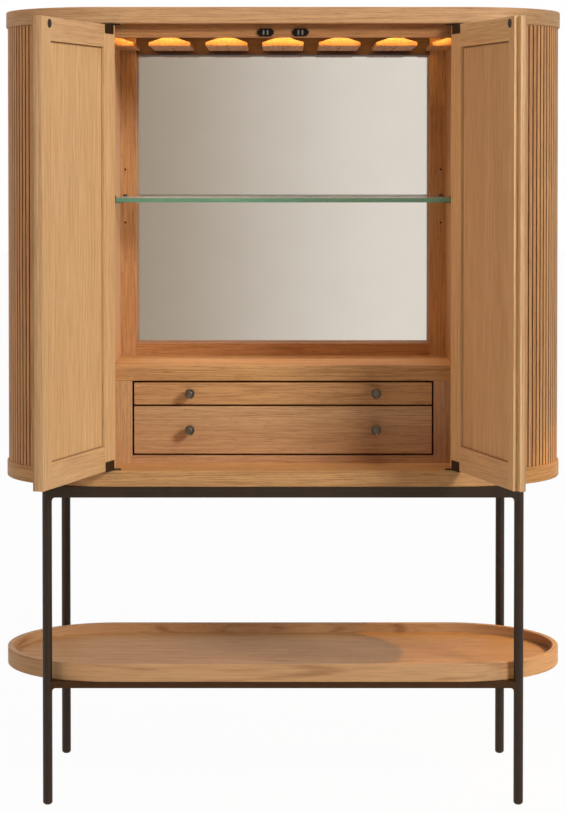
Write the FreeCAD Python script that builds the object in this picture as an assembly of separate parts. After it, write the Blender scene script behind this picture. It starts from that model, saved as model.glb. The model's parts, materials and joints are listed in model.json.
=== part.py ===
import FreeCAD, Part
import math
import os

# Bar armoire with a pill-shaped plan: reeded round ends, two reeded doors on
# pivot hinges, a stemware rack, a mirror back, a glass shelf, two drawers and
# a bronze stand with an oak tray. Millimetres, +Z up, the doors open towards -Y.
# Lengths below are measured from the middle of the plan and from the floor.

# Overall sizes and levels
overall_width = 1220.0
overall_depth = 457.0
stand_height = 680.0
slab_thickness = 35.0
body_height = 948.0
plan_radius = overall_depth / 2
end_centre_x = overall_width / 2 - plan_radius
base_top = stand_height + slab_thickness
body_top = base_top + body_height
overall_height = body_top + slab_thickness

# Clearances and the overrun of every cut
fit_gap = 0.3
pin_clearance = 0.05
drawer_gap = 4.0
shelf_gap = 2.5
cut_overrun = 1.0

# Reeded skin: upright slats with narrow grooves between them
reed_setback = 3.5
reed_groove_width = 3.0
reed_groove_depth = 3.0
end_reed_count = 54
door_reed_count = 29
reed_radius = plan_radius - reed_setback

# Doors
door_hinge_gap = 2.5
door_meeting_gap = 2.0
door_slab_gap = 4.0
door_frame_thickness = 14.0
door_board_thickness = 8.0
door_panel_thickness = 8.5
hinge_stile_width = 60.0
free_stile_width = 43.0
door_bottom_rail_height = 52.0
door_top_rail_height = 48.0
edge_rebate_width = 12.0
edge_rebate_depth = 9.0
left_open_angle = 108.2
right_open_angle = 105.8
door_thickness = door_frame_thickness + door_board_thickness
door_outer_y = -reed_radius
door_frame_y = door_outer_y + door_board_thickness
door_inner_y = door_outer_y + door_thickness
door_hinge_x = end_centre_x - door_hinge_gap
door_free_x = door_meeting_gap / 2
door_bottom = base_top + door_slab_gap
door_top = body_top - door_slab_gap

# Pivot hinges
pivot_inset = 6.0
pivot_pin_diameter = 5.0
hinge_leaf_thickness = 1.8
hinge_leaf_margin = 2.0
hinge_plate_inset = 11.0
hinge_plate_length = 45.0
hinge_plate_height = 19.0
fixed_leaf_length = 34.0
pivot_x = door_hinge_x - pivot_inset
pivot_y = door_outer_y + pivot_inset

# Carcass
wall_thickness = 12.0
wall_door_gap = 3.0
back_setback = 20.0
back_thickness = 12.0
header_door_gap = 6.0
header_thickness = 18.0
header_height = 28.0
wall_inner_x = end_centre_x - wall_thickness
wall_front_y = door_inner_y + wall_door_gap
wall_back_y = plan_radius - back_setback
header_front_y = door_inner_y + header_door_gap
header_back_y = header_front_y + header_thickness

# Catches and strikes
catch_x = 37.0
catch_width = 35.0
catch_height = 16.0
catch_depth = 4.0
catch_corner = 5.5
catch_level_drop = 17.5
pole_width = 3.2
pole_height = 10.0
pole_spacing = 8.5
pole_proud = 0.2
strike_diameter = 18.0
strike_thickness = 1.5

# Light behind the header
led_inset = 20.0
led_depth = 12.0
led_height = 8.0
led_diffuser_thickness = 2.0

# Stemware rack: rails with slots between them for the stems of hanging glasses
stem_rail_count = 5
stem_slot_width = 33.0
stem_web_width = 22.0
stem_edge_height = 7.5
stem_flange_height = 18.5
stem_drop = 41.0
stem_setback = 105.0
stem_pitch = 2 * wall_inner_x / (stem_rail_count + 1)
stem_flange_half = (stem_pitch - stem_slot_width) / 2
stem_web_half = stem_web_width / 2
stem_bottom = body_top - stem_drop
stem_front_y = wall_front_y + stem_setback

# Mirror back
mirror_thickness = 4.0
mirror_frame_depth = 50.0
mirror_stile_width = 35.5
mirror_bottom_rail_height = 27.0
mirror_top_rail_height = 50.0
mirror_front_y = wall_back_y - mirror_thickness
frame_front_y = mirror_front_y - mirror_frame_depth
mirror_top_rail_bottom = body_top - mirror_top_rail_height

# Counter, face frame and drawers
counter_rise = 213.5
counter_thickness = 34.0
face_setback = 95.0
face_thickness = 18.0
face_stile_width = 42.0
face_bottom_rail_height = 17.0
upper_front_share = 0.316
drawer_side_thickness = 12.0
drawer_bottom_thickness = 6.0
drawer_bottom_lift = 5.0
drawer_box_drop = 8.0
drawer_back_gap = 17.0
runner_thickness = 5.5
runner_height = 18.0
cleat_height = 28.0
knob_share = 0.6168
knob_diameter = 21.0
knob_rise = 2.0
knob_length = 32.0
knob_stem_diameter = 9.0
knob_stem_length = 14.0
counter_top_level = base_top + counter_rise
counter_bottom = counter_top_level - counter_thickness
face_front_y = wall_front_y + face_setback
face_back_y = face_front_y + face_thickness
face_opening_half = wall_inner_x - face_stile_width
face_bottom = base_top + face_bottom_rail_height
upper_front_top = counter_bottom - drawer_gap
lower_front_bottom = face_bottom + drawer_gap
both_fronts_height = upper_front_top - lower_front_bottom - drawer_gap
upper_front_bottom = upper_front_top - both_fronts_height * upper_front_share
lower_front_top = upper_front_bottom - drawer_gap
drawer_box_end = wall_back_y - drawer_back_gap
knob_x = face_opening_half * knob_share

# Glass shelf and its clips, each with a peg in one of three holes
shelf_thickness = 10.0
shelf_rise_share = 0.48
shelf_setback = 150.0
clip_width = 8.0
clip_thickness = 1.6
clip_lip = 9.0
clip_head = 4.0
peg_rise = 1.0
peg_diameter = 5.0
peg_depth = 10.0
peg_hole_spacing = 60.5
front_clip_inset = 30.0
rear_clip_inset = 10.0
shelf_bottom = counter_top_level + (body_top - counter_top_level) * shelf_rise_share
shelf_top = shelf_bottom + shelf_thickness
shelf_front_y = wall_front_y + shelf_setback
front_clip_y = shelf_front_y + front_clip_inset
rear_clip_x = wall_inner_x - rear_clip_inset
peg_level = shelf_top + peg_rise
peg_hole_levels = [peg_level + n * peg_hole_spacing for n in (-1, 0, 1)]

# Stand and tray
leg_diameter = 20.5
leg_spread = 120.5
leg_inset = 9.5
foot_chamfer = 4.0
rail_height = 22.5
rail_depth = 19.0
stretcher_height = 13.2
stretcher_depth = 17.0
tray_ledge_depth = 16.0
tray_ledge_thickness = 3.0
weld_size = 8.0
tray_level_share = 0.3877
tray_height = 38.5
tray_rim_thickness = 13.0
tray_floor_thickness = 17.0
leg_x = end_centre_x + leg_spread
leg_y = plan_radius - leg_inset
tray_bottom = stand_height * tray_level_share

# The open doors set how far the part reaches forwards, so the middle of the
# whole part at rest lies in front of the middle of the plan.
door_swing_length = pivot_x - door_free_x
door_swing_depth = door_inner_y - pivot_y
widest_swing = math.radians(right_open_angle)
door_reach = (
    door_swing_length * math.sin(widest_swing)
    - door_swing_depth * math.cos(widest_swing)
    - pivot_y
)
rest_shift_y = (door_reach - plan_radius) / 2


def vec(x, y, z):
    return FreeCAD.Vector(x, y, z)


origin = vec(0, 0, 0)
along_x = vec(1, 0, 0)
along_y = vec(0, 1, 0)
along_z = vec(0, 0, 1)
quarter_turn = 90


def box(x, y, z):
    """Box between the two ends given for each direction."""
    (x0, x1), (y0, y1), (z0, z1) = sorted(x), sorted(y), sorted(z)
    return Part.makeBox(x1 - x0, y1 - y0, z1 - z0, vec(x0, y0, z0))


def mirror_x(shape):
    return shape.mirror(origin, along_x)


def mirror_y(shape):
    return shape.mirror(origin, along_y)


def both_sides(shapes):
    """The shapes and their twins on the other side of the plan."""
    return shapes + [mirror_x(s) for s in shapes]


def sided(shape, side):
    """The shape as built for the right, or its twin for the left."""
    return shape if side > 0 else mirror_x(shape)


def extrude_up(edges, bottom, top):
    """Solid over a closed plan outline that is drawn at level zero."""
    solid = Part.Face(Part.Wire(edges)).extrude(vec(0, 0, top - bottom))
    solid.translate(vec(0, 0, bottom))
    return solid


def lines(points):
    """Straight edges from point to point."""
    return [Part.makeLine(a, b) for a, b in zip(points, points[1:])]


def stadium(radius, bottom, top):
    """Pill-shaped plate whose round ends keep the centres of the plan."""
    front_right, back_right = vec(end_centre_x, -radius, 0), vec(end_centre_x, radius, 0)
    back_left, front_left = vec(-end_centre_x, radius, 0), vec(-end_centre_x, -radius, 0)
    right_tip, left_tip = vec(end_centre_x + radius, 0, 0), vec(-end_centre_x - radius, 0, 0)
    edges = [
        Part.makeLine(front_left, front_right),
        Part.Arc(front_right, right_tip, back_right).toShape(),
        Part.makeLine(back_right, back_left),
        Part.Arc(back_left, left_tip, front_left).toShape(),
    ]
    return extrude_up(edges, bottom, top)


def disc_y(x, z, diameter, y0, y1):
    """Round bar along Y."""
    return Part.makeCylinder(diameter / 2, abs(y1 - y0), vec(x, min(y0, y1), z), along_y)


def reeded_end():
    """Half-round shell of upright slats at the right end."""
    pitch = math.pi / end_reed_count
    half_groove = reed_groove_width / 2 / reed_radius

    def at(angle, radius):
        return vec(end_centre_x + radius * math.cos(angle), radius * math.sin(angle), 0)

    floor_radius = reed_radius - reed_groove_depth
    outline = []
    for n in range(end_reed_count):
        start = -math.pi / 2 + n * pitch
        slat_start = start + half_groove if n else start
        slat_end = start + pitch
        if n < end_reed_count - 1:
            slat_end -= half_groove
        if n:
            outline.append(at(slat_start, floor_radius))
        outline += [at(slat_start, reed_radius), at(slat_end, reed_radius)]
        if n < end_reed_count - 1:
            outline.append(at(slat_end, floor_radius))
    inner_radius = reed_radius - door_thickness
    inner_start, inner_end = at(-math.pi / 2, inner_radius), at(math.pi / 2, inner_radius)
    edges = lines([inner_start] + outline + [inner_end])
    edges.append(Part.Arc(inner_end, at(0, inner_radius), inner_start).toShape())
    return extrude_up(edges, base_top, body_top)


def side_wall():
    """Right wall of the bar space with its holes for the front clips."""
    wall = box(
        (wall_inner_x, wall_inner_x + wall_thickness),
        (wall_front_y, wall_back_y),
        (base_top, body_top),
    )
    for level in peg_hole_levels:
        mouth = vec(wall_inner_x - cut_overrun, front_clip_y, level)
        wall = wall.cut(peg_hole(mouth, along_x))
    return wall


def peg_hole(mouth, direction):
    radius = peg_diameter / 2 + pin_clearance
    return Part.makeCylinder(radius, peg_depth + cut_overrun, mouth, direction)


def mirror_stile():
    """Right upright of the mirror frame with its holes for the rear clips."""
    stile = box(
        (wall_inner_x - mirror_stile_width, wall_inner_x),
        (frame_front_y, mirror_front_y),
        (counter_top_level, body_top),
    )
    for level in peg_hole_levels:
        mouth = vec(rear_clip_x, frame_front_y - cut_overrun, level)
        stile = stile.cut(peg_hole(mouth, along_y))
    return stile


def rear_clip():
    """Right rear clip: a plate on the stile, a lip under the glass and a peg."""
    across = (rear_clip_x - clip_width / 2, rear_clip_x + clip_width / 2)
    face = frame_front_y - clip_thickness
    seat = shelf_bottom - fit_gap
    plate = box(across, (face, frame_front_y), (seat - clip_thickness, peg_level + clip_head))
    lip = box(across, (face - clip_lip, face), (seat - clip_thickness, seat))
    start = vec(rear_clip_x, frame_front_y - clip_thickness / 2, peg_level)
    peg = Part.makeCylinder(peg_diameter / 2, peg_depth, start, along_y)
    return plate.fuse([lip, peg]).removeSplitter()


def front_clip():
    """The same clip turned to sit on the right wall."""
    clip = rear_clip()
    clip.translate(vec(-rear_clip_x, -frame_front_y, 0))
    clip.rotate(origin, along_z, -quarter_turn)
    clip.translate(vec(wall_inner_x, front_clip_y, 0))
    return clip


def mirror_rails():
    half = wall_inner_x - mirror_stile_width
    lower_top = counter_top_level + mirror_bottom_rail_height
    depth = (frame_front_y, mirror_front_y)
    return [
        box((-half, half), depth, (counter_top_level, lower_top)),
        box((-half, half), depth, (mirror_top_rail_bottom, body_top)),
    ]


def catch_centre_level():
    return body_top - catch_level_drop


def catch_front_y():
    return header_front_y - catch_depth


def pole_bars():
    """The two pole plates of the right catch, standing just proud of it."""
    level = catch_centre_level()
    bars = []
    for side in (-1, 1):
        middle = catch_x + side * pole_spacing / 2
        bars.append(
            box(
                (middle - pole_width / 2, middle + pole_width / 2),
                (catch_front_y() - pole_proud, header_front_y),
                (level - pole_height / 2, level + pole_height / 2),
            )
        )
    return bars


def catch_body():
    """Housing of the right catch, slotted for its pole plates."""
    level = catch_centre_level()
    body = box(
        (catch_x - catch_width / 2, catch_x + catch_width / 2),
        (catch_front_y(), header_front_y),
        (level - catch_height / 2, level + catch_height / 2),
    )
    corners = [e for e in body.Edges if e.tangentAt(0).cross(along_y).Length < pin_clearance]
    body = body.makeChamfer(catch_corner, corners)
    for bar in pole_bars():
        body = body.cut(bar)
    return body.removeSplitter()


def stem_rail_places():
    """Middles of the full rails, left to right."""
    middle = (stem_rail_count - 1) / 2
    return [(n - middle) * stem_pitch for n in range(stem_rail_count)]


def stem_flange(left, right, left_web, right_web):
    """Rail foot with shoulders that slope up to its web."""
    edge_top = stem_bottom + stem_edge_height
    top = stem_bottom + stem_flange_height
    corners = [
        (left, stem_bottom),
        (right, stem_bottom),
        (right, edge_top),
        (right_web, top),
        (left_web, top),
        (left, edge_top),
    ]
    points = []
    for x, z in corners:
        if not points or (points[-1] - vec(x, stem_front_y, z)).Length > pin_clearance:
            points.append(vec(x, stem_front_y, z))
    face = Part.Face(Part.makePolygon(points + points[:1]))
    return face.extrude(vec(0, frame_front_y - stem_front_y, 0))


def stem_rails():
    """Full rails, and a half rail against each wall."""
    rails = [
        stem_flange(
            x - stem_flange_half, x + stem_flange_half, x - stem_web_half, x + stem_web_half
        )
        for x in stem_rail_places()
    ]
    half_rail = stem_flange(
        wall_inner_x - stem_flange_half, wall_inner_x, wall_inner_x - stem_web_half, wall_inner_x
    )
    return rails + both_sides([half_rail])


def stem_rail_webs():
    levels = (stem_bottom + stem_flange_height, body_top)
    length = (stem_front_y, frame_front_y)
    webs = [
        box((x - stem_web_half, x + stem_web_half), length, levels)
        for x in stem_rail_places()
    ]
    half_web = box((wall_inner_x - stem_web_half, wall_inner_x), length, levels)
    return webs + both_sides([half_web])


def led_bar(bottom, top):
    half = wall_inner_x - led_inset
    return box((-half, half), (header_back_y, header_back_y + led_depth), (bottom, top))


def fixed_hinge_leaf():
    """Lower right leaf on the base slab with the pin that the door turns on."""
    leaf = box(
        (pivot_x + pivot_inset, pivot_x + pivot_inset - fixed_leaf_length),
        (door_outer_y + hinge_leaf_margin, wall_front_y - hinge_leaf_margin),
        (base_top, base_top + hinge_leaf_thickness),
    )
    pin = Part.makeCylinder(
        pivot_pin_diameter / 2,
        door_bottom - base_top - pin_clearance,
        vec(pivot_x, pivot_y, base_top),
    )
    return leaf.fuse(pin).removeSplitter()


def door_hinge_leaf():
    """Lower right bracket: a leaf under the door and a plate on its inner face."""
    plate_start = door_hinge_x - hinge_plate_inset
    plate_end = plate_start - hinge_plate_length
    leaf = box(
        (door_hinge_x - hinge_leaf_margin, plate_end),
        (door_outer_y + hinge_leaf_margin, door_inner_y),
        (door_bottom - hinge_leaf_thickness, door_bottom),
    )
    plate = box(
        (plate_start, plate_end),
        (door_inner_y, door_inner_y + hinge_leaf_thickness),
        (door_bottom - hinge_leaf_thickness, door_bottom + hinge_plate_height),
    )
    hole = Part.makeCylinder(
        pivot_pin_diameter / 2 + pin_clearance,
        hinge_leaf_thickness + 2 * cut_overrun,
        vec(pivot_x, pivot_y, door_bottom - hinge_leaf_thickness - cut_overrun),
    )
    return leaf.fuse(plate).cut(hole).removeSplitter()


def top_twin(shape):
    """The same hinge piece turned over for the top of the door."""
    return shape.mirror(vec(0, 0, (base_top + body_top) / 2), along_z)


def door_stiles(rebated):
    """Hinge stile and free stile, the latter with its inner rebate if it has one."""
    depth = (door_frame_y, door_inner_y)
    levels = (door_bottom, door_top)
    hinge_stile = box((door_hinge_x - hinge_stile_width, door_hinge_x), depth, levels)
    free_stile = box((door_free_x, door_free_x + free_stile_width), depth, levels)
    if rebated:
        rebate = box(
            (door_free_x - cut_overrun, door_free_x + edge_rebate_width),
            (door_inner_y - edge_rebate_depth, door_inner_y + cut_overrun),
            (door_bottom - cut_overrun, door_top + cut_overrun),
        )
        free_stile = free_stile.cut(rebate)
    return [hinge_stile, free_stile]


def door_rails():
    across = (door_free_x + free_stile_width, door_hinge_x - hinge_stile_width)
    depth = (door_frame_y, door_inner_y)
    return [
        box(across, depth, (door_bottom, door_bottom + door_bottom_rail_height)),
        box(across, depth, (door_top - door_top_rail_height, door_top)),
    ]


def door_panel():
    """Panel set at the back of the frame, so its inner face is recessed."""
    return box(
        (door_free_x + free_stile_width, door_hinge_x - hinge_stile_width),
        (door_frame_y, door_frame_y + door_panel_thickness),
        (door_bottom + door_bottom_rail_height, door_top - door_top_rail_height),
    )


def door_reeds():
    """Slatted outer board; its hinge corner is round about the pivot."""
    pitch = (door_hinge_x - door_free_x) / door_reed_count
    floor_y = door_outer_y + reed_groove_depth
    outline = [vec(door_free_x, door_frame_y, 0), vec(door_free_x, door_outer_y, 0)]
    for n in range(1, door_reed_count):
        groove = door_free_x + n * pitch
        left, right = groove - reed_groove_width / 2, groove + reed_groove_width / 2
        outline += [
            vec(left, door_outer_y, 0),
            vec(left, floor_y, 0),
            vec(right, floor_y, 0),
            vec(right, door_outer_y, 0),
        ]
    outline.append(vec(pivot_x, door_outer_y, 0))
    edges = lines(outline)
    bend = pivot_inset * math.sqrt(1 / 2)
    round_end = vec(door_hinge_x, pivot_y, 0)
    bend_middle = vec(pivot_x + bend, pivot_y - bend, 0)
    edges.append(Part.Arc(outline[-1], bend_middle, round_end).toShape())
    edges += lines([round_end, vec(door_hinge_x, door_frame_y, 0), outline[0]])
    return extrude_up(edges, door_bottom, door_top)


def strike():
    return disc_y(
        catch_x,
        catch_centre_level(),
        strike_diameter,
        door_inner_y,
        door_inner_y + strike_thickness,
    )


def write_door(name, side, angle, rebated):
    """Builds a door closed and swings it open about its pivot."""
    pieces = {
        "stiles": door_stiles(rebated),
        "rails": door_rails(),
        "panel": [door_panel()],
        "reeds": [door_reeds()],
        "hinge_leaves": [door_hinge_leaf(), top_twin(door_hinge_leaf())],
        "strike": [strike()],
    }
    for piece, shapes in pieces.items():
        for shape in shapes:
            shape.rotate(vec(pivot_x, pivot_y, 0), along_z, angle)
        write(f"{name}_{piece}", [sided(s, side) for s in shapes])


def runner_level(front_bottom, front_top):
    return (front_bottom + front_top) / 2


def fixed_runners():
    """Cabinet members of the drawer runners, two on each side."""
    inner = face_opening_half - runner_thickness
    rows = []
    for level in drawer_levels():
        rows.append(
            box(
                (inner, face_opening_half),
                (face_back_y, drawer_box_end),
                (level - runner_height / 2, level + runner_height / 2),
            )
        )
    return both_sides(rows)


def runner_cleats():
    """Blocks that carry the runners off the side walls."""
    rows = []
    for level in drawer_levels():
        rows.append(
            box(
                (face_opening_half, wall_inner_x),
                (face_back_y, drawer_box_end),
                (level - cleat_height / 2, level + cleat_height / 2),
            )
        )
    return both_sides(rows)


def drawer_levels():
    return [
        runner_level(upper_front_bottom, upper_front_top),
        runner_level(lower_front_bottom, lower_front_top),
    ]


def knob(x, level):
    stem_end = face_front_y - knob_stem_length
    stem = disc_y(x, level, knob_stem_diameter, stem_end, face_front_y)
    head = disc_y(x, level, knob_diameter, face_front_y - knob_length, stem_end)
    return stem.fuse(head).removeSplitter()


def drawer_box(front_bottom, front_top):
    """Two sides, inner front, back and bottom, each its own board."""
    box_half = face_opening_half - 2 * runner_thickness - fit_gap
    inner_half = box_half - drawer_side_thickness
    start, end = face_back_y, drawer_box_end
    levels = (front_bottom + drawer_bottom_lift, front_top - drawer_box_drop)
    floor_top = levels[0] + drawer_bottom_thickness
    side = box((inner_half, box_half), (start, end), levels)
    across = (-inner_half, inner_half)
    inner_front = box(across, (start, start + drawer_side_thickness), levels)
    back = box(across, (end - drawer_side_thickness, end), levels)
    between = (start + drawer_side_thickness, end - drawer_side_thickness)
    bottom = box(across, between, (levels[0], floor_top))
    return both_sides([side]) + [inner_front, back, bottom]


def drawer_runners(level):
    outer = face_opening_half - runner_thickness - fit_gap
    runner = box(
        (outer - runner_thickness, outer),
        (face_back_y, drawer_box_end),
        (level - runner_height / 2, level + runner_height / 2),
    )
    return both_sides([runner])


def write_drawer(name, front_bottom, front_top):
    half = face_opening_half - drawer_gap
    level = runner_level(front_bottom, front_top)
    front = box((-half, half), (face_front_y, face_back_y), (front_bottom, front_top))
    write(f"{name}_front", [front])
    write(f"{name}_box", drawer_box(front_bottom, front_top))
    write(f"{name}_knobs", both_sides([knob(knob_x, level + knob_rise)]))
    write(f"{name}_runners", drawer_runners(level))


def leg(side_x, side_y):
    """Round leg with an eased foot."""
    shaft = Part.makeCylinder(leg_diameter / 2, stand_height, vec(leg_x, leg_y, 0))
    foot = [e for e in shaft.Edges if e.Closed and abs(e.CenterOfMass.z) < pin_clearance]
    shaft = shaft.makeChamfer(foot_chamfer, foot)
    if side_y < 0:
        shaft = mirror_y(shaft)
    return sided(shaft, side_x)


def all_legs():
    return {(x, y): leg(x, y) for x in (-1, 1) for y in (-1, 1)}


def weld(start, depth, level, down):
    """Hollow fillet in the corner below or above a bar, in the X-Z plane."""
    inner = leg_diameter / 2
    reach = inner + weld_size
    turn = -1 if down else 1
    middle_share = 1 - math.sqrt(1 / 2)
    curve = weld_size * middle_share
    corner = vec(start, depth[0], level)

    def at(x, z):
        return corner + vec(x, 0, turn * z)

    edges = lines([at(reach, 0), at(0, 0), at(0, weld_size), at(inner, weld_size)])
    arc = Part.Arc(at(inner, weld_size), at(inner + curve, curve), at(reach, 0))
    edges.append(arc.toShape())
    return Part.Face(Part.Wire(edges)).extrude(vec(0, depth[1] - depth[0], 0))


def long_bar(depth_width, bottom, top, side_y):
    """Front or back bar from leg to leg with its welds, coped to the legs."""
    depth = (side_y * leg_y - depth_width / 2, side_y * leg_y + depth_width / 2)
    bar = box((-leg_x, leg_x), depth, (bottom, top))
    corner = weld(-leg_x, depth, bottom, True)
    bar = bar.fuse([corner, mirror_x(corner)])
    legs = all_legs()
    return bar.cut([legs[-1, side_y], legs[1, side_y]]).removeSplitter()


def stretcher(side_y, levels):
    """Front or back bar below the tray with a ledge that the tray rests on."""
    bar = long_bar(stretcher_depth, *levels, side_y)
    reach = leg_x - stretcher_depth / 2
    inner_face = leg_y - stretcher_depth / 2
    depth = sorted((side_y * inner_face, side_y * (inner_face - tray_ledge_depth)))
    ledge = box((-reach, reach), depth, (levels[1] - tray_ledge_thickness, levels[1]))
    return bar.fuse(ledge).removeSplitter()


def side_bars(bar_width, bottom, top):
    """Bars that butt against the front and back ones at each end."""
    reach = leg_y - bar_width / 2
    bar = box(
        (leg_x - bar_width / 2, leg_x + bar_width / 2), (-reach, reach), (bottom, top)
    )
    legs = all_legs()
    bar = bar.cut([legs[1, -1], legs[1, 1]])
    return both_sides([bar])


def tray_rim():
    outer = stadium(plan_radius, tray_bottom, tray_bottom + tray_height)
    inner = stadium(
        plan_radius - tray_rim_thickness,
        tray_bottom - cut_overrun,
        tray_bottom + tray_height + cut_overrun,
    )
    return outer.cut(inner)


def write(name, shapes):
    """Saves the solids of one node, centred as the whole part stands at rest."""
    placed = []
    for shape in shapes:
        moved = shape.copy()
        moved.translate(vec(0, rest_shift_y, 0))
        placed.extend(moved.Solids)
    whole = placed[0] if len(placed) == 1 else Part.makeCompound(placed)
    whole.exportStep(f"parts/{name}.step")


def write_carcass():
    write("top_panel", [stadium(plan_radius, body_top, overall_height)])
    write("base_panel", [stadium(plan_radius, stand_height, base_top)])
    for name, side in (("left", -1), ("right", 1)):
        write(f"{name}_side_wall", [sided(side_wall(), side)])
        write(f"{name}_reeded_end", [sided(reeded_end(), side)])
    back_depth = (wall_back_y, wall_back_y + back_thickness)
    back = box((-end_centre_x, end_centre_x), back_depth, (base_top, body_top))
    write("back_panel", [back])
    header_depth = (header_front_y, header_back_y)
    header_levels = (body_top - header_height, body_top)
    write("header_rail", [box((-wall_inner_x, wall_inner_x), header_depth, header_levels)])
    write("catch_bodies", both_sides([catch_body()]))
    write("catch_poles", both_sides(pole_bars()))
    leaf = fixed_hinge_leaf()
    write("carcass_hinge_leaves", both_sides([leaf, top_twin(leaf)]))


def write_bar_space():
    write("stem_rails", stem_rails())
    write("stem_rail_webs", stem_rail_webs())
    led_bottom = body_top - led_height
    write("led_channel", [led_bar(led_bottom, body_top)])
    write("led_diffuser", [led_bar(led_bottom - led_diffuser_thickness, led_bottom)])
    write("mirror_stiles", both_sides([mirror_stile()]))
    write("mirror_rails", mirror_rails())
    mirror_depth = (mirror_front_y, wall_back_y)
    mirror_levels = (counter_top_level, body_top)
    write("mirror_glass", [box((-wall_inner_x, wall_inner_x), mirror_depth, mirror_levels)])
    shelf_half = wall_inner_x - shelf_gap
    shelf_depth = (shelf_front_y, frame_front_y - shelf_gap)
    write("glass_shelf", [box((-shelf_half, shelf_half), shelf_depth, (shelf_bottom, shelf_top))])
    write("shelf_clips", both_sides([front_clip(), rear_clip()]))


def write_drawer_space():
    across = (-wall_inner_x, wall_inner_x)
    counter_levels = (counter_bottom, counter_top_level)
    write("counter_top", [box(across, (face_front_y, wall_back_y), counter_levels)])
    depth = (face_front_y, face_back_y)
    stile = box((face_opening_half, wall_inner_x), depth, (base_top, counter_bottom))
    write("face_left_stile", [mirror_x(stile)])
    write("face_right_stile", [stile])
    opening = (-face_opening_half, face_opening_half)
    write("face_bottom_rail", [box(opening, depth, (base_top, face_bottom))])
    write("cabinet_runners", fixed_runners())
    write("runner_cleats", runner_cleats())
    write_drawer("upper_drawer", upper_front_bottom, upper_front_top)
    write_drawer("lower_drawer", lower_front_bottom, lower_front_top)


def write_stand():
    corners = {"front_left": (-1, -1), "front_right": (1, -1), "back_left": (-1, 1), "back_right": (1, 1)}
    for name, (side_x, side_y) in corners.items():
        write(f"{name}_leg", [leg(side_x, side_y)])
    rail_levels = (stand_height - rail_height, stand_height)
    stretcher_levels = (tray_bottom - stretcher_height, tray_bottom)
    for name, side_y in (("front", -1), ("back", 1)):
        write(f"{name}_rail", [long_bar(rail_depth, *rail_levels, side_y)])
        write(f"{name}_stretcher", [stretcher(side_y, stretcher_levels)])
    write("side_rails", side_bars(rail_depth, *rail_levels))
    write("side_stretchers", side_bars(stretcher_depth, *stretcher_levels))
    floor_radius = plan_radius - tray_rim_thickness
    write("tray_floor", [stadium(floor_radius, tray_bottom, tray_bottom + tray_floor_thickness)])
    write("tray_rim", [tray_rim()])


os.makedirs("parts", exist_ok=True)
write_carcass()
write_bar_space()
write_drawer_space()
write_stand()
write_door("left_door", -1, left_open_angle, False)
write_door("right_door", 1, right_open_angle, True)
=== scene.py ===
"""Looks of a bar armoire: an oak cabinet with reeded round ends, open on a bronzed stand."""

from __future__ import annotations

import json
import logging
import math
import random
from collections.abc import Callable, Iterator, Sequence
from contextlib import contextmanager
from dataclasses import dataclass
from enum import Enum
from functools import cache, partial

import bpy
import numpy as np
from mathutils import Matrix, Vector


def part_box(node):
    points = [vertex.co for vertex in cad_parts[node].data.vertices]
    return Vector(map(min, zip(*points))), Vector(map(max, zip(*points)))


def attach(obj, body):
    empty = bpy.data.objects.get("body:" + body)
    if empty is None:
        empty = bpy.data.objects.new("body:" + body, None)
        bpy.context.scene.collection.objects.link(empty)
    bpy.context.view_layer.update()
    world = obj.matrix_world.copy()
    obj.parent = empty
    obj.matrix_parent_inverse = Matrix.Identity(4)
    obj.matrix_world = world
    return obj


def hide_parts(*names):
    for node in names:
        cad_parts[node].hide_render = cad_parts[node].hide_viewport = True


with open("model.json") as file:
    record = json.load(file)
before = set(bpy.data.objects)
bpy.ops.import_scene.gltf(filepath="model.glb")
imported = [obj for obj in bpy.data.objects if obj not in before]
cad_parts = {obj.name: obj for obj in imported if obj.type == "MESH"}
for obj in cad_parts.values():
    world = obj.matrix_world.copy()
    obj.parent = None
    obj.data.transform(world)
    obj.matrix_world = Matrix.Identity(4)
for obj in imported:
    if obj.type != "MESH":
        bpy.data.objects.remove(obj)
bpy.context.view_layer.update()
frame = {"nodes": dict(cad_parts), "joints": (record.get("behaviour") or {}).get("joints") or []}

log = logging.getLogger("bar_armoire")
MM = 0.001
IMAGE_HEIGHT = 813
SENSOR_MM = 36.0
WHITE = (1.0, 1.0, 1.0, 1.0)
SMOOTH = {"interpolation_type": "SMOOTHSTEP"}
X_AXIS, Y_AXIS, Z_AXIS = Vector((1, 0, 0)), Vector((0, 1, 0)), Vector((0, 0, 1))
TOWARDS = 0.6  # a face whose normal reaches this far along a direction faces that way
SQUARE = 0.9  # and this far, it stands square to it
MERGE_MM = 0.01  # corners closer than this are one
FLAT_DEG = 0.4  # faces that turn by less are one
SHARP_DEG = 32.0  # edges that turn by more are eased and stay sharp
TURNED_SHARP_DEG = 30.0
SEED_STEP = 1009  # keeps the boards of one seed apart from those of the next
SLIDE_M = 0.3  # how far boards slide along the tree
VARY = (0.8, 1.2)  # how much their distance from its heart varies
SLIVER_M = 1e-6  # keeps the angle of points on the straight part defined
ON_END_M = 1e-4  # points this far past the straight part are on an end
BACK_M = 9.0  # takes the grain of the back edge from another place than the front
GROOVE_START_MM, GROOVE_END_MM, GROOVE_PAINTED_SHADE = 0.1, 6.0, 0.95  # its least and greatest depth, and how dark the painted shade in it gets
SCREW_SIDES = 16
SCREW_PROFILE = ((1.0, 0.0), (0.98, 0.18), (0.84, 0.36), (0.55, 0.46), (0.42, 0.47), (0.38, 0.2))

Array = np.ndarray
Object = bpy.types.Object
Material = bpy.types.Material
Node = bpy.types.Node
Tree = bpy.types.NodeTree
Socket = bpy.types.NodeSocket
Spot = tuple[float, float, float]
Pair = tuple[float, float]


# Materials


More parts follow.
